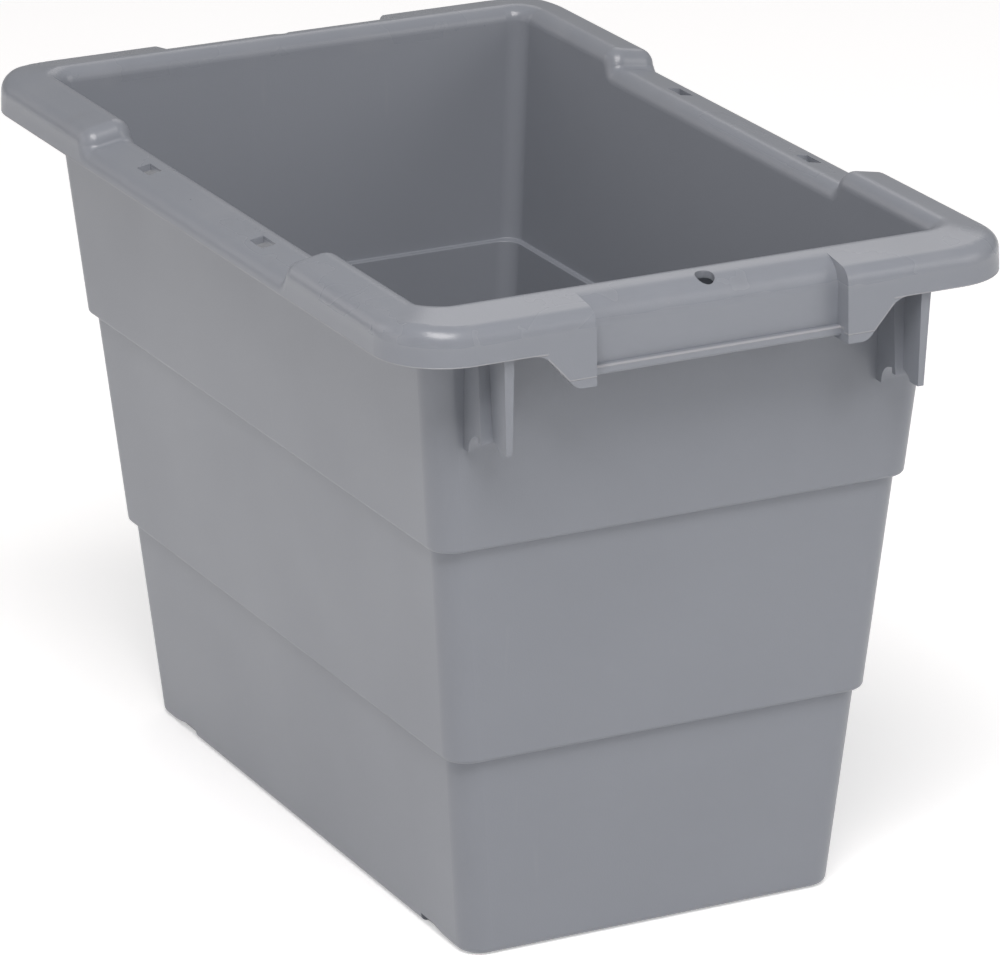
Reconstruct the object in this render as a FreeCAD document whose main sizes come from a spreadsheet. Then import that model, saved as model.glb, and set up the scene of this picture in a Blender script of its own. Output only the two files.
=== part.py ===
import FreeCAD, Part

import math
import os

import Sketcher

Vector = FreeCAD.Vector

document = FreeCAD.newDocument("stack_and_nest_tote")

# Driving sizes in millimetres. X runs along the tote, Y across it, Z up from the table.
SIZES = [
    ("tote_length", 438.3, "length over the cheeks, at their lower edge"),
    ("tote_width", 280.1, "width over the lip, carried down to the cheeks' lower edge"),
    ("tote_height", 298.3, "height of the rim's ridge at the ends, before rounding"),
    ("rim_corner_radius", 30.0, "plan radius of the rim, outside"),
    ("rim_overhang_end", 28.54, "how far the rim stands out past the wall, at the ends"),
    ("rim_overhang_side", 22.84, "how far the rim stands out past the wall, at the sides"),
    ("rim_fall", 4.9, "fall of the rim's top from its ridge to its outer edge"),
    ("ridge_inset", 4.0, "how far the ridge lies inside the mouth"),
    ("rim_drop", 7.7, "how far the middle of each long side lies lower"),
    ("hip_round", 60.0, "rounding where the slopes of the rim's top meet"),
    ("lip_height", 19.3, "from the ridge down to the lip's lower edge"),
    ("lip_draft", 0.024, "draft of the lip, run over rise"),
    ("outer_round", 7.3, "rounding of the rim's outer edge"),
    ("panel_top_round", 12.0, "rounding of the rim down to the handle panel"),
    ("mouth_round", 7.0, "rounding of the rim into the mouth"),
    ("underside_round", 4.0, "rounding under the rim, beside the wall"),
    ("raised_corner_length", 118.35, "from the end to the drop of the long side"),
    ("drop_angle", 78.0, "steepness of the ends of the lower middle"),
    ("shoulder_round", 7.5, "rounding at the top of the drop"),
    ("drop_round", 2.0, "rounding at the bottom of the drop"),
    ("wall", 3.0, "wall thickness everywhere"),
    ("floor_thickness", 4.0, "thickness of the floor"),
    ("upper_tier_height", 91.6, "from the lip down to the upper step"),
    ("middle_tier_height", 96.8, "from the upper step down to the lower one"),
    ("wall_corner_radius", 11.0, "plan radius of the walls, outside"),
    ("wall_slope", 0.089, "draft of the walls, run over rise"),
    ("lower_step", 2.78, "overhang of the lower step"),
    ("upper_step", 3.0, "overhang of the upper step"),
    ("step_round", 2.0, "rounding of the steps, outside"),
    ("ledge_round", 0.6, "rounding of the ledges, inside"),
    ("base_round", 3.0, "rounding of the base, outside"),
    ("floor_round", 6.0, "rounding of the floor into the walls"),
    ("handle_from_side", 83.35, "from the side to the handle panel"),
    ("handle_recess", 9.1, "depth of the panel behind the rim"),
    ("cheek_drop", 16.1, "how far the cheeks hang below the lip"),
    ("panel_above_cheek", 1.9, "from the cheeks' lower edge up to the panel's"),
    ("cheek_flat", 8.8, "level part of the cheek's lower edge"),
    ("cheek_slope_run", 14.5, "sloping part of the cheek's lower edge"),
    ("cheek_low_round", 6.0, "rounding at the bottom of the cheek's slope"),
    ("cheek_top_round", 10.0, "rounding of the cheek into the lip"),
    ("bead_height", 4.0, "height of the bead along the panel's lower edge"),
    ("bead_proud", 2.9, "how far the bead stands out"),
    ("bead_round", 1.3, "rounding of the bead"),
    ("rib_from_side", 46.15, "from the side to the middle of a nesting rib"),
    ("rib_low_width", 11.4, "width of the rib's box at its lower end"),
    ("rib_top_width", 14.6, "width of the rib's box under the rim"),
    ("rib_from_end", 16.65, "from the end to the front of the rib's box"),
    ("rib_plate", 2.8, "thickness of the rib's front plate"),
    ("rib_plate_drop", 58.3, "from the ridge down to the plate's lower edge"),
    ("rib_rise", 9.0, "from the ridge down to the top of the ribs"),
    ("arch_radius", 9.1, "radius of the arch under the rib"),
    ("arch_drop", 64.9, "from the ridge down to the arch's centre"),
    ("arch_from_end", 18.95, "from the end to the arch's centre"),
    ("fin_from_side", 48.2, "from the side to the fin's inner face"),
    ("fin_low_width", 2.65, "thickness of the fin at its lower edge"),
    ("fin_top_width", 4.75, "thickness of the fin under the rim"),
    ("fin_drop", 60.2, "from the ridge down to the fin's lower edge"),
    ("fin_low_from_end", 4.65, "from the end to the fin's lower corner"),
    ("fin_top_from_end", 2.15, "from the end to the fin's top"),
    ("slot_length", 12.6, "slot in the long side of the rim, along"),
    ("slot_width", 6.2, "slot in the long side of the rim, across"),
    ("slot_from_drop", 42.8, "from the drop to the slot's middle"),
    ("slot_from_side", 12.55, "from the side to the slot's middle"),
    ("drain_diameter", 8.0, "round hole in the end of the rim"),
    ("drain_from_end", 16.75, "from the end to the round hole's middle"),
    ("notch_from_end", 15.0, "from the base's end to the notch"),
    ("notch_ramp_length", 19.0, "length of the notch's ramp"),
    ("notch_flat_length", 10.0, "length of the notch's level part"),
    ("notch_height", 3.7, "height of the notch"),
    ("notch_depth", 3.0, "depth of the notch into the base"),
    ("clearance", 30.0, "how far the cutting shapes reach past the surface"),
]

# Places that follow from the driving sizes, heights from the table, the rest from the middle.
PLACES = [
    ("lip_edge", "tote_height - lip_height"),
    ("cheek_edge", "lip_edge - cheek_drop"),
    ("panel_edge", "cheek_edge + panel_above_cheek"),
    ("upper_step_at", "lip_edge - upper_tier_height"),
    ("lower_step_at", "upper_step_at - middle_tier_height"),
    ("drop_end", "tote_length / 2 - raised_corner_length"),
    ("handle_side", "tote_width / 2 - handle_from_side"),
    ("cheek_flat_end", "handle_side + cheek_flat"),
    ("cheek_slope_end", "cheek_flat_end + cheek_slope_run"),
    ("rib_middle", "tote_width / 2 - rib_from_side"),
    ("rib_front", "tote_length / 2 - rib_from_end"),
    ("rib_top", "tote_height - rib_rise"),
    ("arch_height", "tote_height - arch_drop"),
    ("arch_middle", "tote_length / 2 - arch_from_end"),
    ("slot_along", "drop_end - slot_from_drop"),
    ("slot_across", "tote_width / 2 - slot_from_side"),
    ("base_end", "tote_length / 2 - rim_overhang_end - lower_step - upper_step - wall_slope * lip_edge"),
    ("base_side", "tote_width / 2 - rim_overhang_side - lower_step - upper_step - wall_slope * lip_edge"),
    ("notch_end", "base_end - notch_from_end"),
    ("notch_ramp", "notch_end - notch_ramp_length"),
    ("notch_start", "notch_ramp - notch_flat_length"),
]

sheet = document.addObject("Spreadsheet::Sheet", "sizes")
rows = [(alias, str(value), meaning) for alias, value, meaning in SIZES]
rows += [(alias, "=" + formula, "") for alias, formula in PLACES]
for row, (alias, value, meaning) in enumerate(rows, start=1):
    sheet.set("A%d" % row, alias)
    sheet.set("B%d" % row, value)
    sheet.set("C%d" % row, meaning)
    sheet.setAlias("B%d" % row, alias)
document.recompute()


def value_of(text):
    """What an expression over the sheet comes to."""
    result = sheet.evalExpression(text)
    return float(getattr(result, "Value", result))


def distance(sketch, kind, geometry, point, text):
    """Hold one coordinate of a sketch point at an expression, seen from the origin."""
    amount = value_of(text)
    if amount < 0:
        index = sketch.addConstraint(Sketcher.Constraint(kind, geometry, point, -1, 1, -amount))
        text = "-(%s)" % text
    else:
        index = sketch.addConstraint(Sketcher.Constraint(kind, -1, 1, geometry, point, amount))
    label = "%s_%d" % (kind, index)
    sketch.renameConstraint(index, label)
    sketch.setExpression("Constraints." + label, text)


def polygon(name, corners):
    """A closed sketch of straight lines whose corners are pairs of expressions."""
    sketch = document.addObject("Sketcher::SketchObject", name)
    points = [Vector(value_of(across), value_of(up), 0) for across, up in corners]
    count = len(points)
    for index in range(count):
        line = Part.LineSegment(points[index], points[(index + 1) % count])
        sketch.addGeometry(line, False)
    for index in range(count):
        following = (index + 1) % count
        sketch.addConstraint(Sketcher.Constraint("Coincident", index, 2, following, 1))
    for index, (across, up) in enumerate(corners):
        distance(sketch, "DistanceX", index, 1, across)
        distance(sketch, "DistanceY", index, 1, up)
    return sketch


def wedge(name, low, high):
    """A block with flat sides. A level is its bounds along, its bounds across and a height."""
    feature = document.addObject("Part::Wedge", name)
    feature.Placement = FreeCAD.Placement(Vector(), FreeCAD.Rotation(Vector(1, 0, 0), 90))
    for mark, end, (along, across, height) in (("", "min", low), ("2", "max", high)):
        feature.setExpression("X%smin" % mark, along[0])
        feature.setExpression("X%smax" % mark, along[1])
        feature.setExpression("Z%smin" % mark, "-(%s)" % across[1])
        feature.setExpression("Z%smax" % mark, "-(%s)" % across[0])
        feature.setExpression("Y" + end, height)
    return feature


def frustum(name, low, high, radius):
    """A wedge about the middle with rounded corners. A level is two half sizes and a height."""
    levels = []
    for half_length, half_width, height in (low, high):
        along = ("-(%s)" % half_length, half_length)
        across = ("-(%s)" % half_width, half_width)
        levels.append((along, across, height))
    sharp = wedge(name + "_sharp", *levels)
    return fillet(name, sharp, [(value_of(radius), lambda edge: edge.BoundBox.ZLength > 1)])


def extrude(name, sketch, forward, backward="0"):
    """A solid from a sketch, pushed both ways along its normal."""
    feature = document.addObject("Part::Extrusion", name)
    feature.Base = sketch
    feature.DirMode = "Normal"
    feature.Solid = True
    feature.setExpression("LengthFwd", forward)
    feature.setExpression("LengthRev", backward)
    return feature


def box(name, along, across, up):
    """A box from three pairs of expressions, each a lower and an upper bound."""
    feature = document.addObject("Part::Box", name)
    for side, axis, (low, high) in (("Length", "x", along), ("Width", "y", across), ("Height", "z", up)):
        feature.setExpression(side, "(%s) - (%s)" % (high, low))
        feature.setExpression("Placement.Base." + axis, low)
    return feature


def fuse(name, shapes):
    feature = document.addObject("Part::MultiFuse", name)
    feature.Shapes = shapes
    return feature


def cut(name, base, tool):
    feature = document.addObject("Part::Cut", name)
    feature.Base = base
    feature.Tool = tool
    return feature


def mirror(name, source, normal):
    """The same solid on the other side of the middle."""
    feature = document.addObject("Part::Mirroring", name)
    feature.Source = source
    feature.Normal = normal
    return feature


def both_sides(name, source, normal):
    """A solid and its mirror image."""
    return fuse(name, [source, mirror(name + "_mirrored", source, normal)])


def fillet(name, base, choices):
    """Round edges. Each choice is a radius and a test that picks the edges for it."""
    document.recompute()
    edges = []
    for radius, wanted in choices:
        for number, edge in enumerate(base.Shape.Edges, start=1):
            if wanted(edge):
                edges.append((number, radius, radius))
    feature = document.addObject("Part::Fillet", name)
    feature.Base = base
    feature.Edges = edges
    document.recompute()
    return feature


def lies_at(edge, height, tolerance=0.02):
    """True for a level edge at the height."""
    limits = edge.BoundBox
    return abs(limits.ZMin - height) < tolerance and abs(limits.ZMax - height) < tolerance


def outline_distance(point, half_length, half_width, radius):
    """How far a point lies outside a rounded rectangle, seen from above."""
    x = abs(point.x) - half_length + radius
    y = abs(point.y) - half_width + radius
    outside = math.hypot(max(x, 0), max(y, 0))
    return outside + min(max(x, y), 0) - radius


def along_outline(edge, half_length, half_width, radius, tolerance=0.05):
    """True for an edge that follows a rounded rectangle, seen from above."""
    first, last = edge.FirstParameter, edge.LastParameter
    for part in (0.1, 0.5, 0.9):
        point = edge.valueAt(first + (last - first) * part)
        if abs(outline_distance(point, half_length, half_width, radius)) > tolerance:
            return False
    return True


# The walls: three drafted tiers, each a step wider than the one below it.
both_steps = "sizes.lower_step + sizes.upper_step"


def wall_half(side, steps, height, inset="0"):
    """Half size of a tier at a height, before its inset, as an expression."""
    base = "sizes.base_end" if side == "length" else "sizes.base_side"
    return "%s + %s + sizes.wall_slope * (%s) - (%s)" % (base, steps, height, inset)


def tiers(name, inset, bottom, rise, top):
    """The three tiers as one solid. The rise lifts the steps, as for the ledges inside."""
    lower = "sizes.lower_step_at + " + rise
    upper = "sizes.upper_step_at + " + rise
    radius = "sizes.wall_corner_radius - (%s)" % inset
    parts = []
    for part, steps, start, end in (
        ("lower", "0", bottom, lower),
        ("middle", "sizes.lower_step", lower, upper),
        ("upper", both_steps, upper, top),
    ):
        levels = []
        for height in (start, end):
            length = wall_half("length", steps, height, inset)
            width = wall_half("width", steps, height, inset)
            levels.append((length, width, height))
        parts.append(frustum("%s_%s_tier" % (name, part), levels[0], levels[1], radius))
    return fuse(name, parts)


def tier_edge(edge, height, steps, inset):
    """True for an edge on the outline of a tier at a height."""
    if not lies_at(edge, height):
        return False
    length = value_of(wall_half("length", steps, str(height), inset))
    width = value_of(wall_half("width", steps, str(height), inset))
    radius = value_of("sizes.wall_corner_radius - (%s)" % inset)
    return along_outline(edge, length, width, radius, 0.2)


lower_step_at = value_of("sizes.lower_step_at")
upper_step_at = value_of("sizes.upper_step_at")

wall_form = tiers("wall_form", "0", "0", "0", "sizes.lip_edge + sizes.wall")
wall_rounded = fillet("wall_rounded", wall_form, [
    (value_of("sizes.base_round"), lambda edge: tier_edge(edge, 0, "0", "0")),
    (
        value_of("sizes.step_round"),
        lambda edge: tier_edge(edge, lower_step_at, "sizes.lower_step", "0")
        or tier_edge(edge, upper_step_at, both_steps, "0"),
    ),
])

lower_ledge = value_of("sizes.lower_step_at + sizes.wall")
upper_ledge = value_of("sizes.upper_step_at + sizes.wall")
cavity_form = tiers(
    "cavity_form", "sizes.wall", "sizes.floor_thickness", "sizes.wall", "sizes.tote_height + sizes.clearance"
)
cavity = fillet("cavity", cavity_form, [
    (
        value_of("sizes.floor_round"),
        lambda edge: tier_edge(edge, value_of("sizes.floor_thickness"), "0", "sizes.wall"),
    ),
    (
        value_of("sizes.ledge_round"),
        lambda edge: lies_at(edge, lower_ledge) or lies_at(edge, upper_ledge),
    ),
])


# The rim: one form for its outside and, a wall thickness further in, one for its hollow.
MOUTH_LENGTH = wall_half("length", both_steps, "sizes.tote_height", "sizes.wall")
MOUTH_WIDTH = wall_half("width", both_steps, "sizes.tote_height", "sizes.wall")
RIDGE_LENGTH = "%s - sizes.ridge_inset" % MOUTH_LENGTH
RIDGE_WIDTH = "%s - sizes.ridge_inset" % MOUTH_WIDTH
BLOCK_BOTTOM = "sizes.cheek_edge - sizes.wall"
SHOULDER = "sizes.tote_height - sizes.rim_fall"
FLARE = "sizes.lip_draft * (%s - %s)" % (SHOULDER, BLOCK_BOTTOM)
SLOPE = "sizes.rim_fall / (sizes.tote_width / 2 - %s - (%s))" % (FLARE, RIDGE_WIDTH)
END_SLOPE = "sizes.rim_fall / (sizes.tote_length / 2 - %s - (%s))" % (FLARE, RIDGE_LENGTH)


def rim_form(name, inset):
    """The rim as a full block with the lower middles and the handle recesses cut."""
    radius = "sizes.rim_corner_radius - (%s)" % inset
    half_length = "sizes.tote_length / 2 - (%s)" % inset
    half_width = "sizes.tote_width / 2 - (%s)" % inset
    ridge = "sizes.tote_height - (%s)" % inset
    bottom = "%s - (%s)" % (BLOCK_BOTTOM, inset)
    narrowing = "sizes.lip_draft * (%s - (%s))" % (ridge, bottom)
    sides = frustum(
        name + "_sides",
        (half_length, half_width, bottom),
        ("%s - %s" % (half_length, narrowing), "%s - %s" % (half_width, narrowing), ridge),
        radius,
    )
    roof = frustum(
        name + "_roof",
        (
            "%s + (%s - (%s)) / (%s)" % (RIDGE_LENGTH, ridge, bottom, END_SLOPE),
            "%s + (%s - (%s)) / (%s)" % (RIDGE_WIDTH, ridge, bottom, SLOPE),
            bottom,
        ),
        (RIDGE_LENGTH, RIDGE_WIDTH, ridge),
        "sizes.hip_round",
    )
    block = document.addObject("Part::Common", name + "_block")
    block.Base = sides
    block.Tool = roof

    half_drop = "sizes.drop_end + (%s)" % inset
    top_of_cut = "sizes.rim_drop + sizes.clearance"
    run_of_end = "(%s) / tan(sizes.drop_angle)" % top_of_cut
    drop_sketch = polygon(name + "_drop_outline", [
        ("-(%s)" % half_drop, "0"),
        (half_drop, "0"),
        ("%s + %s" % (half_drop, run_of_end), top_of_cut),
        ("-(%s) - %s" % (half_drop, run_of_end), top_of_cut),
    ])
    drop_sketch.Placement = FreeCAD.Placement(Vector(), FreeCAD.Rotation(Vector(1, 0, 0), 90))
    drop_sketch.setExpression("Placement.Rotation.Angle", "90 deg - atan(%s)" % SLOPE)
    drop_sketch.setExpression("Placement.Base.y", RIDGE_WIDTH)
    drop_sketch.setExpression("Placement.Base.z", "%s - sizes.rim_drop" % ridge)
    drop = extrude(name + "_drop", drop_sketch, "sizes.ridge_inset / 4", "sizes.clearance * 2")
    drops = both_sides(name + "_drops", drop, Vector(0, 1, 0))
    dropped = cut(name + "_dropped", block, drops)

    foot = value_of(half_drop)
    top = foot + value_of("sizes.rim_drop / tan(sizes.drop_angle)")
    shoulder_round = value_of("sizes.shoulder_round - (%s)" % inset)
    foot_round = value_of("sizes.drop_round + (%s)" % inset)

    def crosses_at(edge, offset):
        limits = edge.BoundBox
        level = limits.XLength < 0.01 and limits.YLength > 5 and limits.ZMin > value_of("sizes.lip_edge")
        return level and abs(abs(limits.XMin) - offset) < 0.05

    softened = fillet(name + "_softened", dropped, [
        (shoulder_round, lambda edge: crosses_at(edge, top)),
        (foot_round, lambda edge: crosses_at(edge, foot)),
    ])

    a = value_of("%s - %s" % (half_length, FLARE))
    b = value_of("%s - %s" % (half_width, FLARE))
    r = value_of(radius)

    def outer_edge(edge):
        return edge.BoundBox.ZMin > value_of("sizes.lip_edge") and along_outline(edge, a, b, r, 0.4)

    rounded = fillet(name + "_rounded", softened, [
        (value_of("sizes.outer_round - (%s)" % inset), outer_edge),
    ])

    panel = "sizes.tote_length / 2 - sizes.handle_recess - (%s)" % inset
    recess = box(
        name + "_recess",
        (panel, "sizes.tote_length / 2 + sizes.clearance"),
        ("-sizes.handle_side - (%s)" % inset, "sizes.handle_side + (%s)" % inset),
        ("sizes.cheek_edge - sizes.clearance", "sizes.tote_height + sizes.clearance"),
    )
    recesses = both_sides(name + "_recesses", recess, Vector(1, 0, 0))
    recessed = cut(name + "_recessed", rounded, recesses)
    panel_face = value_of(panel)

    def panel_top(edge):
        limits = edge.BoundBox
        level = limits.YLength > 50 and limits.ZLength < 0.01 and limits.ZMin > value_of("sizes.lip_edge")
        return level and abs(abs(limits.XMin) - panel_face) < 0.01

    return fillet(name, recessed, [(value_of("sizes.panel_top_round - (%s)" % inset), panel_top)])


rim_outside = rim_form("rim_outside", "0")
rim_inside = rim_form("rim_inside", "sizes.wall")


# The ring of the rim round the mouth, rounded into it, and the hollow under it.
rim_ring = cut("rim_ring", rim_outside, cavity)
mouth_radius = value_of("sizes.wall_corner_radius - sizes.wall")


def mouth_edge(edge):
    """True for the edges where the rim's top meets the inside of the mouth."""
    middle = edge.valueAt((edge.FirstParameter + edge.LastParameter) / 2)
    length = value_of(wall_half("length", both_steps, str(middle.z), "sizes.wall"))
    width = value_of(wall_half("width", both_steps, str(middle.z), "sizes.wall"))
    if edge.BoundBox.ZMin < value_of("sizes.lip_edge"):
        return False
    return abs(outline_distance(middle, length, width, mouth_radius)) < 0.2


rim_ring_rounded = fillet("rim_ring_rounded", rim_ring, [
    (value_of("sizes.mouth_round"), mouth_edge),
])

wall_top = tiers("wall_core", "0", "0", "0", "sizes.tote_height + sizes.clearance")
hollow_sharp = cut("hollow_sharp", rim_inside, wall_top)


def under_rim_edge(edge):
    """True for the edges where the hollow's top meets the outside of the wall."""
    middle = edge.valueAt((edge.FirstParameter + edge.LastParameter) / 2)
    length = value_of(wall_half("length", both_steps, str(middle.z)))
    width = value_of(wall_half("width", both_steps, str(middle.z)))
    if edge.BoundBox.ZMin < value_of("sizes.lip_edge"):
        return False
    radius = value_of("sizes.wall_corner_radius")
    return abs(outline_distance(middle, length, width, radius)) < 0.2


hollow = fillet("hollow", hollow_sharp, [(value_of("sizes.underside_round"), under_rim_edge)])


def facing_along(sketch):
    """Stand a sketch up so that it is drawn across and up, and faces along the tote."""
    turn = FreeCAD.Rotation(Vector(0, 1, 0), Vector(0, 0, 1), Vector(1, 0, 0), "ZXY")
    sketch.Placement = FreeCAD.Placement(Vector(), turn)
    return sketch


def facing_across(sketch):
    """Stand a sketch up so that it is drawn along and up, and faces across the tote."""
    sketch.Placement = FreeCAD.Placement(Vector(), FreeCAD.Rotation(Vector(1, 0, 0), 90))
    return sketch


# The lip ends at its lower edge, except at the ends, where cheeks hang down beside the panel.
below = "sizes.cheek_edge - sizes.clearance"
past_rim = "sizes.tote_width / 2 + sizes.clearance"
trim_corners = [
    ("-(%s)" % past_rim, "sizes.lip_edge"),
    ("-(sizes.cheek_slope_end)", "sizes.lip_edge"),
    ("-(sizes.cheek_flat_end)", "sizes.cheek_edge"),
    ("-(sizes.handle_side)", "sizes.cheek_edge"),
    ("-(sizes.handle_side)", "sizes.panel_edge"),
]
trim_corners += [(across[2:-1], up) for across, up in reversed(trim_corners)]
trim_corners += [(past_rim, below), ("-(%s)" % past_rim, below)]
trim_outline = facing_along(polygon("lip_trim_outline", trim_corners))
past_end = "sizes.tote_length / 2 + sizes.clearance"
trim_sharp = extrude("lip_trim_sharp", trim_outline, past_end, past_end)


def trim_corner(edge, across, height):
    limits = edge.BoundBox
    if limits.XLength < 100 or abs(limits.ZMin - height) > 0.01:
        return False
    return abs(abs(limits.YMin) - across) < 0.01


cheek_edge = value_of("sizes.cheek_edge")
lip_edge = value_of("sizes.lip_edge")
lip_trim = fillet("lip_trim", trim_sharp, [
    (
        value_of("sizes.cheek_low_round"),
        lambda edge: trim_corner(edge, value_of("sizes.cheek_flat_end"), cheek_edge),
    ),
    (
        value_of("sizes.cheek_top_round"),
        lambda edge: trim_corner(edge, value_of("sizes.cheek_slope_end"), lip_edge),
    ),
])

# The nesting ribs: at each end two fins, each on a box with an arch and a plate under it.
def rib_root(height):
    """Where a rib starts, in the middle of the wall."""
    return wall_half("length", both_steps, height, "sizes.wall / 2")


def about_rib(width):
    """The bounds across of something centred on the rib."""
    return ("sizes.rib_middle - %s / 2" % width, "sizes.rib_middle + %s / 2" % width)


def from_fin_face(width):
    """The bounds across of something that starts at the fin's inner face."""
    inner = "sizes.tote_width / 2 - sizes.fin_from_side"
    return (inner, "%s + %s" % (inner, width))


fin_low = "sizes.tote_height - sizes.fin_drop"
fin_blank = wedge(
    "fin_blank",
    (
        (rib_root(fin_low), "sizes.tote_length / 2 - sizes.fin_low_from_end"),
        from_fin_face("sizes.fin_low_width"),
        fin_low,
    ),
    (
        (rib_root("sizes.rib_top"), "sizes.tote_length / 2 - sizes.fin_top_from_end"),
        from_fin_face("sizes.fin_top_width"),
        "sizes.rib_top",
    ),
)
rib_box = wedge(
    "rib_box",
    ((rib_root("sizes.arch_height"), "sizes.rib_front"), about_rib("sizes.rib_low_width"), "sizes.arch_height"),
    ((rib_root("sizes.rib_top"), "sizes.rib_front"), about_rib("sizes.rib_top_width"), "sizes.rib_top"),
)
arch = document.addObject("Part::Cylinder", "arch")
arch.Placement = FreeCAD.Placement(Vector(), FreeCAD.Rotation(Vector(1, 0, 0), 90))
arch.setExpression("Radius", "sizes.arch_radius")
arch.setExpression("Height", "sizes.rib_top_width * 2")
arch.setExpression("Placement.Base.x", "sizes.arch_middle")
arch.setExpression("Placement.Base.y", "sizes.rib_middle + sizes.rib_top_width")
arch.setExpression("Placement.Base.z", "sizes.arch_height")
arched = cut("arched_rib", fuse("rib_blank", [fin_blank, rib_box]), arch)
plate = box(
    "rib_plate",
    ("sizes.rib_front - sizes.rib_plate", "sizes.rib_front"),
    about_rib("sizes.rib_low_width"),
    ("sizes.tote_height - sizes.rib_plate_drop", "sizes.arch_height + sizes.arch_radius + sizes.rib_plate"),
)
rib = fuse("rib", [arched, plate])
rib_pair = both_sides("rib_pair", rib, Vector(0, 1, 0))
ribs = both_sides("ribs", rib_pair, Vector(1, 0, 0))

# The bead that stiffens the lower edge of each handle panel.
panel_face = "sizes.tote_length / 2 - sizes.handle_recess"
bead_sharp = box(
    "bead_sharp",
    (panel_face + " - sizes.wall", panel_face + " + sizes.bead_proud"),
    ("-sizes.handle_side - sizes.wall / 2", "sizes.handle_side + sizes.wall / 2"),
    ("sizes.panel_edge", "sizes.panel_edge + sizes.bead_height"),
)
bead_front = value_of(panel_face + " + sizes.bead_proud")
bead = fillet("bead", bead_sharp, [
    (
        value_of("sizes.bead_round"),
        lambda edge: edge.BoundBox.YLength > 50 and abs(edge.BoundBox.XMin - bead_front) < 0.01,
    ),
])
beads = both_sides("beads", bead, Vector(1, 0, 0))

# Slots in the lower middles, round holes in the ends and notches in the base edge.
slot = box(
    "slot",
    ("sizes.slot_along - sizes.slot_length / 2", "sizes.slot_along + sizes.slot_length / 2"),
    ("sizes.slot_across - sizes.slot_width / 2", "sizes.slot_across + sizes.slot_width / 2"),
    ("sizes.lip_edge", "sizes.tote_height + sizes.clearance"),
)
slots = both_sides("slots", both_sides("slot_pair", slot, Vector(1, 0, 0)), Vector(0, 1, 0))

drain = document.addObject("Part::Cylinder", "drain")
drain.setExpression("Radius", "sizes.drain_diameter / 2")
drain.setExpression("Height", "sizes.clearance * 2")
drain.setExpression("Placement.Base.x", "sizes.tote_length / 2 - sizes.drain_from_end")
drain.setExpression("Placement.Base.z", "sizes.lip_edge")
drains = both_sides("drains", drain, Vector(1, 0, 0))

notch_outline = facing_across(polygon("notch_outline", [
    ("sizes.notch_start", "-sizes.wall"),
    ("sizes.notch_start", "sizes.notch_height"),
    ("sizes.notch_ramp", "sizes.notch_height"),
    ("sizes.notch_end", "0"),
    ("sizes.notch_end", "-sizes.wall"),
]))
notch_outline.setExpression("Placement.Base.y", "sizes.base_side - sizes.notch_depth")
notch = extrude("notch", notch_outline, "0", "sizes.clearance")
notches = both_sides("notches", both_sides("notch_pair", notch, Vector(1, 0, 0)), Vector(0, 1, 0))

# The whole tote is one moulding.
rim_trimmed = cut("rim_trimmed", rim_ring_rounded, lip_trim)
rim_shell = cut("rim_shell", rim_trimmed, hollow)
wall_shell = cut("wall_shell", wall_rounded, cavity)
outside = fuse("outside", [wall_shell, rim_shell, ribs, beads])
openings = fuse("all_openings", [slots, drains, notches])
tote = cut("tote", outside, openings)
tote.Label = "tote"
document.recompute()

for item in document.Objects:
    if "Invalid" in item.State or "Error" in item.State:
        raise RuntimeError("%s failed: %s" % (item.Name, item.State))
os.makedirs("parts", exist_ok=True)
for piece in (tote,):
    if piece.Shape.isNull() or not piece.Shape.isValid():
        raise RuntimeError(piece.Label + " has no valid shape")
    piece.Shape.exportStep("parts/%s.step" % piece.Label)
    limits = piece.Shape.BoundBox
    print(piece.Label, len(piece.Shape.Solids), "solid", round(piece.Shape.Volume), "mm3", limits)
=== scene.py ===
from math import cos, radians, sin

import bpy
from mathutils import Matrix, Vector

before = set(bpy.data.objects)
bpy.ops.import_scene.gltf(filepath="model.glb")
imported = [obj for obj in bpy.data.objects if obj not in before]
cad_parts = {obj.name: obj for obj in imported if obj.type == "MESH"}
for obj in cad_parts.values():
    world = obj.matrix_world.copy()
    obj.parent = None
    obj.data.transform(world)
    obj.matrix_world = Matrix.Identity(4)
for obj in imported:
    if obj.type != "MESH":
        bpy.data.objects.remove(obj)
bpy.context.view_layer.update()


# The tote: one injection moulding in polypropylene, in a cool grey. The tool leaves a fine
# even grain on its faces and a parting line round the rim, and the thick plastic sets a little
# uneven. Use has marked the rim faintly and drawn faint upright scratches on the walls.
GREY = (0.260, 0.278, 0.313, 1.0)
GREY_SHADED = (0.236, 0.252, 0.284, 1.0)
GREY_SCUFFED = (0.330, 0.338, 0.362, 1.0)
GREY_SMUDGED = (0.190, 0.192, 0.205, 1.0)
# The pale grey below is the parting line's colour, and along the lip's lower edge and the
# bead's top edge it is also a painted highlight.
GREY_PARTING_AND_HIGHLIGHT = (0.420, 0.415, 0.430, 1.0)

# How far each of those colours covers the one under it, at its strongest.
SHADED_COVER = 0.5
SCUFF_COVER = 0.16
SMUDGE_COVER = 0.18
SCRATCH_COVER = 0.10
PARTING_AND_HIGHLIGHT_COVER = 0.5

# Lengths in metres. The lip and the bead are told from the walls by how far out they reach.
RIM_CORNER_START = (0.189, 0.110, 0.0)
RIM_HEIGHT = 0.2835
RIM_FADE = 0.004
LIP_REACH = 0.026
LIP_EDGE = 0.2790
CHEEK_END = (0.0655, 0.2629)
CHEEK_NORMAL = (0.743, -0.669)
CHEEK_WIDTH = 0.0775
PARTING_HEIGHT = 0.2668
BEAD_TOP = 0.2684
BEAD_REACH = 0.0222
SOFT_END = 0.001
SHARP_END = 0.0005
LIP_LINE_AND_HIGHLIGHT_WIDTH = 0.0005
SLOPE_LINE = 0.0007
CROSS_LINE = 0.00035
BEAD_LINE_AND_HIGHLIGHT_WIDTH = 0.0006

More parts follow.
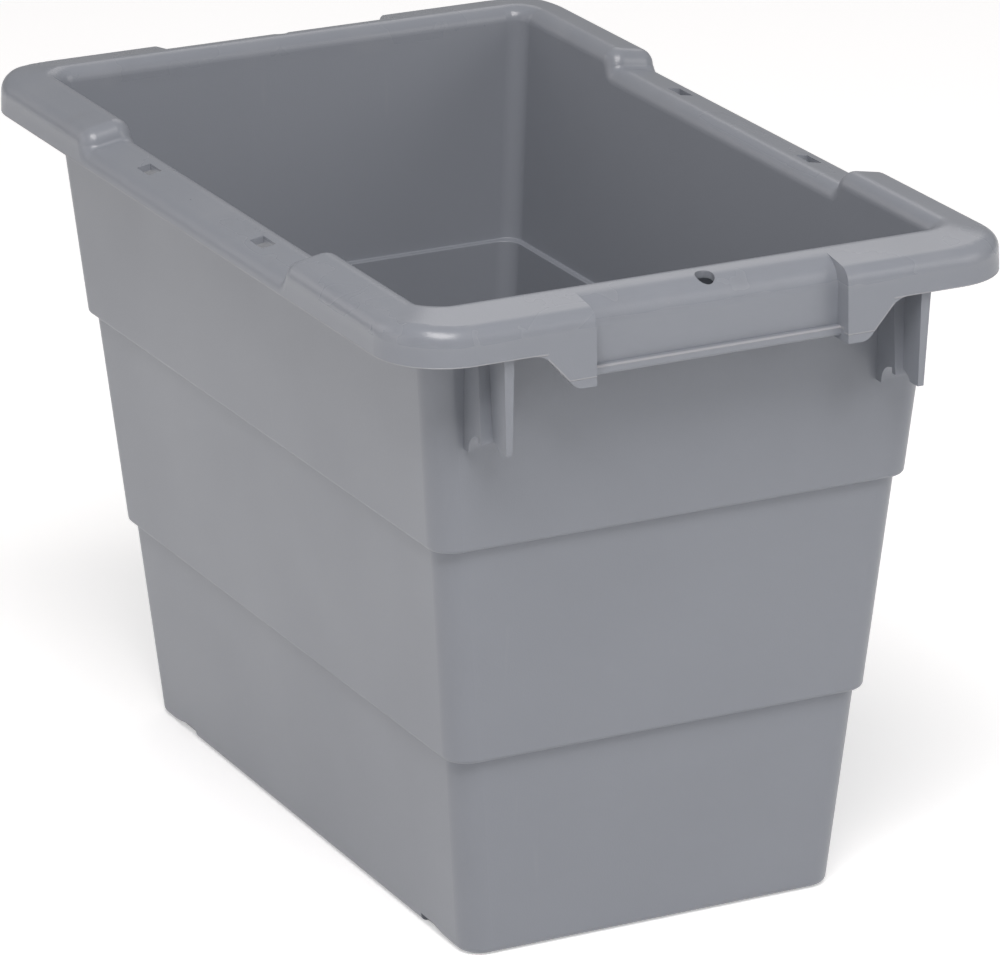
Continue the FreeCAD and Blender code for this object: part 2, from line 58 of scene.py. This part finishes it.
# Pattern scales, and the depths of the bumps in metres.
CLOUD_SCALE = 6.0
SCUFF_SCALE = 38.0
SMUDGE_SCALE = 21.0
SCRATCH_SCALE = 260.0
SCRATCH_STRETCH = (1.0, 1.0, 0.035)
WAVE_SCALE = 9.0
WAVE_DEPTH = 0.0022
GRAIN_SCALE = 1400.0
GRAIN_DEPTH = 0.0002
RIDGE_DEPTH = 0.0002

ROUGHNESS_RANGE = (0.33, 0.41)
RIM_POLISH = 0.09
SCUFF_DULLING = 0.03

plastic = bpy.data.materials.new("moulded_grey_plastic")
plastic.use_nodes = True
nodes = plastic.node_tree.nodes
links = plastic.node_tree.links
nodes.clear()


def shader_node(kind, settings=(), **inputs):
    """A shader node with its settings made and its inputs set or linked.

    An input is given by its name, or by its number after an underscore.
    """
    node = nodes.new(kind)
    for name, choice in settings:
        setattr(node, name, choice)
    for name, given in inputs.items():
        key = int(name[1:]) if name[0] == "_" else name.replace("_", " ")
        socket = node.inputs[key]
        if isinstance(given, bpy.types.NodeSocket):
            links.new(given, socket)
        else:
            socket.default_value = given
    return node


def vector_math(operation, first, **others):
    """A vector sum, product or comparison."""
    return shader_node("ShaderNodeVectorMath", (("operation", operation),), _0=first, **others)


def noise(scale, detail, roughness, vector):
    """A noise pattern's value."""
    pattern = shader_node(
        "ShaderNodeTexNoise", Scale=scale, Detail=detail, Roughness=roughness, Vector=vector
    )
    return pattern.outputs["Fac"]


def stretch(value, low, high, start=0.0, end=1.0):
    """A value taken from one range to another and held inside it."""
    scaled = shader_node(
        "ShaderNodeMapRange", Value=value, From_Min=low, From_Max=high, To_Min=start, To_Max=end
    )
    return scaled.outputs["Result"]


def combine(operation, first, *others):
    """Values joined one after another by a sum, product or comparison."""
    for other in others:
        joined = shader_node("ShaderNodeMath", (("operation", operation),), _0=first, _1=other)
        first = joined.outputs["Value"]
    return first


def blend(amount, under, over):
    """One colour laid over another by an amount."""
    mixed = shader_node("ShaderNodeMix", (("data_type", "RGBA"),), _0=amount, _6=under, _7=over)
    return mixed.outputs[2]


def band(value, middle, half_width):
    """One where a value is near the middle and nothing away from it, with soft sides."""
    offset = shader_node(
        "ShaderNodeMath", (("operation", "ABSOLUTE"),), _0=combine("SUBTRACT", value, middle)
    )
    return stretch(offset.outputs["Value"], half_width * 0.5, half_width, 1.0, 0.0)


def bump(strength, depth, heights, normal=None):
    """A bump laid over the surface, or over the bump before it."""
    raised = shader_node("ShaderNodeBump", Strength=strength, Distance=depth, Height=heights)
    if normal is not None:
        links.new(normal, raised.inputs["Normal"])
    return raised.outputs["Normal"]


place = shader_node("ShaderNodeTexCoord").outputs["Object"]

# Both halves of the tote are alike, so places are read along, across and up from its middle.
folded = vector_math("ABSOLUTE", place).outputs["Vector"]
axes = shader_node("ShaderNodeSeparateXYZ", Vector=folded)
across = axes.outputs["Y"]
height = axes.outputs["Z"]

# How far out a point of the rim lies, measured from the middles of its corner arcs.
past_start = vector_math("SUBTRACT", folded, _1=RIM_CORNER_START).outputs["Vector"]
level = vector_math("MULTIPLY", past_start, _1=(1.0, 1.0, 0.0)).outputs["Vector"]
clipped = vector_math("MAXIMUM", level, _1=(0, 0, 0)).outputs["Vector"]
reach = vector_math("LENGTH", clipped).outputs["Value"]
on_lip = stretch(reach, LIP_REACH, LIP_REACH + SOFT_END)

# Soft clouds in the colour, as the pigment mixes unevenly.
clouds = noise(CLOUD_SCALE, 3.0, 0.55, place)
colour = blend(stretch(clouds, 0.40, 0.70, 0.0, SHADED_COVER), GREY, GREY_SHADED)

# Scuffs and hand marks on the top of the rim.
on_rim = stretch(height, RIM_HEIGHT, RIM_HEIGHT + RIM_FADE)
scuffs = combine("MULTIPLY", stretch(noise(SCUFF_SCALE, 3.0, 0.55, place), 0.50, 0.72), on_rim)
colour = blend(combine("MULTIPLY", scuffs, SCUFF_COVER), colour, GREY_SCUFFED)
smudges = combine("MULTIPLY", stretch(noise(SMUDGE_SCALE, 4.0, 0.6, place), 0.56, 0.74), on_rim)
colour = blend(combine("MULTIPLY", smudges, SMUDGE_COVER), colour, GREY_SMUDGED)

# Upright scratches, thin and far apart.
drawn_out = shader_node("ShaderNodeMapping", Vector=place, Scale=SCRATCH_STRETCH)
streaks = noise(SCRATCH_SCALE, 2.0, 0.5, drawn_out.outputs["Vector"])
scratches = stretch(streaks, 0.70, 0.78)
colour = blend(combine("MULTIPLY", scratches, SCRATCH_COVER), colour, GREY_SCUFFED)

# The halves of the mould meet along the lip's lower edge, down the slope of each cheek, across
# the cheek and along the bead. That line stands up a little and is rubbed pale; along the lip's
# lower edge and the bead's top edge its pale colour is also a painted highlight on those edges.
past_cheek = stretch(across, CHEEK_WIDTH, CHEEK_WIDTH + SOFT_END)
on_cheek = combine("SUBTRACT", 1.0, past_cheek)
lip_line_and_highlight = combine("MULTIPLY", band(height, LIP_EDGE, LIP_LINE_AND_HIGHLIGHT_WIDTH), on_lip, past_cheek)

slope_offset = combine(
    "ADD",
    combine("MULTIPLY", combine("SUBTRACT", across, CHEEK_END[0]), CHEEK_NORMAL[0]),
    combine("MULTIPLY", combine("SUBTRACT", height, CHEEK_END[1]), CHEEK_NORMAL[1]),
)
above_parting = stretch(height, PARTING_HEIGHT, PARTING_HEIGHT + SHARP_END)
slope_line = combine("MULTIPLY", band(slope_offset, 0.0, SLOPE_LINE), above_parting)
cross_line = band(height, PARTING_HEIGHT, CROSS_LINE)
either_line = combine("MAXIMUM", slope_line, cross_line)
cheek_line = combine("MULTIPLY", either_line, on_lip, on_cheek)

on_bead = combine("SUBTRACT", stretch(reach, BEAD_REACH, BEAD_REACH + SHARP_END), on_lip)
bead_line_and_highlight = combine("MULTIPLY", band(height, BEAD_TOP, BEAD_LINE_AND_HIGHLIGHT_WIDTH), on_bead, on_cheek)
parting_and_highlight = combine("MAXIMUM", lip_line_and_highlight, cheek_line, bead_line_and_highlight)
colour = blend(combine("MULTIPLY", parting_and_highlight, PARTING_AND_HIGHLIGHT_COVER), colour, GREY_PARTING_AND_HIGHLIGHT)

# Satin, and a little glossier where hands polish the rim.
polish = combine("MULTIPLY", on_rim, RIM_POLISH)
roughness = combine("SUBTRACT", stretch(clouds, 0.3, 0.7, *ROUGHNESS_RANGE), polish)
roughness = combine("ADD", roughness, combine("MULTIPLY", scuffs, SCUFF_DULLING))

# The faces are a little wavy, grained by the tool, and ridged along the parting line.
waves = bump(0.35, WAVE_DEPTH, noise(WAVE_SCALE, 1.0, 0.4, place))
grain = bump(0.22, GRAIN_DEPTH, noise(GRAIN_SCALE, 2.0, 0.6, place), waves)
ridge = bump(0.8, RIDGE_DEPTH, parting_and_highlight, grain)
shader = shader_node(
    "ShaderNodeBsdfPrincipled",
    Base_Color=colour,
    Roughness=roughness,
    Specular_IOR_Level=0.5,
    Normal=ridge,
)
shader_node("ShaderNodeOutputMaterial", Surface=shader.outputs["BSDF"])

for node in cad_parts.values():
    for material_slot in node.material_slots:
        material_slot.material = plastic


# The floor: a plain white sheet under the tote. To the camera and to reflections it also
# gives off a little light, so that it reads as white paper and keeps the tote's soft shadow.
WHITE = (0.9, 0.9, 0.9, 1.0)
PAPER_ROUGHNESS = 0.9
PAPER_GLOW = 0.42
FLOOR_SIZE = 8.0
FLOOR_HEIGHT = -0.0005

bpy.ops.mesh.primitive_plane_add(size=FLOOR_SIZE, location=(0, 0, FLOOR_HEIGHT))
floor = bpy.context.object
floor.name = "floor"
paper = bpy.data.materials.new("white_paper")
paper.use_nodes = True
paper_nodes = paper.node_tree.nodes
paper_links = paper.node_tree.links
paper_shader = paper_nodes["Principled BSDF"]
paper_shader.inputs["Base Color"].default_value = WHITE
paper_shader.inputs["Roughness"].default_value = PAPER_ROUGHNESS
paper_shader.inputs["Emission Color"].default_value = (1.0, 1.0, 1.0, 1.0)
ray = paper_nodes.new("ShaderNodeLightPath")
seen = paper_nodes.new("ShaderNodeMath")
seen.operation = "MAXIMUM"
paper_links.new(ray.outputs["Is Camera Ray"], seen.inputs[0])
paper_links.new(ray.outputs["Is Glossy Ray"], seen.inputs[1])
glow = paper_nodes.new("ShaderNodeMath")
glow.operation = "MULTIPLY"
glow.inputs[1].default_value = PAPER_GLOW
paper_links.new(seen.outputs["Value"], glow.inputs[0])
paper_links.new(glow.outputs["Value"], paper_shader.inputs["Emission Strength"])
floor.data.materials.append(paper)


# The light: a pale surround, a large soft key from high in front, a lamp on the right, two
# weaker and warmer ones on the left, and one behind.
SURROUND = 0.25
WARM = (1.0, 0.965, 0.955)
WARMER = (1.0, 0.935, 0.925)
LAMP_AIM = Vector((0, 0, 0.15))

world = bpy.data.worlds.new("studio")
bpy.context.scene.world = world
world.use_nodes = True
background = world.node_tree.nodes["Background"]
background.inputs["Color"].default_value = (1.0, 1.0, 1.0, 1.0)
background.inputs["Strength"].default_value = SURROUND

# Each lamp's name, place, width in metres, power in watts and colour.
for name, lamp_place, width, power, lamp_colour in (
    ("key", (1.2, -0.6, 2.2), 1.2, 42.0, WARM),
    ("right", (1.6, 1.6, 1.2), 1.2, 9.5, WARM),
    ("left", (-0.2, -2.4, 0.9), 1.4, 5.0, WARMER),
    ("far_left", (-1.8, -1.6, 1.2), 1.2, 4.6, WARMER),
    ("behind", (-1.6, 1.2, 1.8), 1.2, 5.0, WARM),
):
    lamp_data = bpy.data.lights.new(name, "AREA")
    lamp_data.shape = "SQUARE"
    lamp_data.size = width
    lamp_data.energy = power
    lamp_data.color = lamp_colour
    lamp = bpy.data.objects.new(name, lamp_data)
    bpy.context.collection.objects.link(lamp)
    lamp.location = lamp_place
    aim = LAMP_AIM - Vector(lamp_place)
    lamp.rotation_euler = aim.to_track_quat("-Z", "Y").to_euler()


# The camera: a long lens from a little above, on the near corner.
AZIMUTH = radians(63.639)
ELEVATION = radians(19.515)
ROLL = radians(-0.372)
DISTANCE = 2.779394
SHIFT = (0.007928, -0.004457)
FOCAL_PIXELS = 6433.128
IMAGE_WIDTH = 1000
SENSOR_WIDTH = 36.0
FARTHEST_SEEN = 50
CAMERA_AIM = Vector((0, 0, 0.1512))

back = Vector((sin(AZIMUTH) * cos(ELEVATION), -cos(AZIMUTH) * cos(ELEVATION), sin(ELEVATION)))
right = Vector((cos(AZIMUTH), sin(AZIMUTH), 0))
up = back.cross(right)
camera_data = bpy.data.cameras.new("camera")
camera_data.sensor_width = SENSOR_WIDTH
camera_data.lens = FOCAL_PIXELS / IMAGE_WIDTH * SENSOR_WIDTH
camera_data.clip_end = FARTHEST_SEEN
camera = bpy.data.objects.new("camera", camera_data)
bpy.context.collection.objects.link(camera)
spot = CAMERA_AIM + back * DISTANCE + right * SHIFT[0] + up * SHIFT[1]
rolled_right = right * cos(ROLL) + up * sin(ROLL)
rolled_up = up * cos(ROLL) - right * sin(ROLL)
facing = Matrix((rolled_right, rolled_up, back)).transposed()
camera.matrix_world = Matrix.Translation(spot) @ facing.to_4x4()
bpy.context.scene.camera = camera
bpy.context.scene.view_settings.view_transform = "Standard"
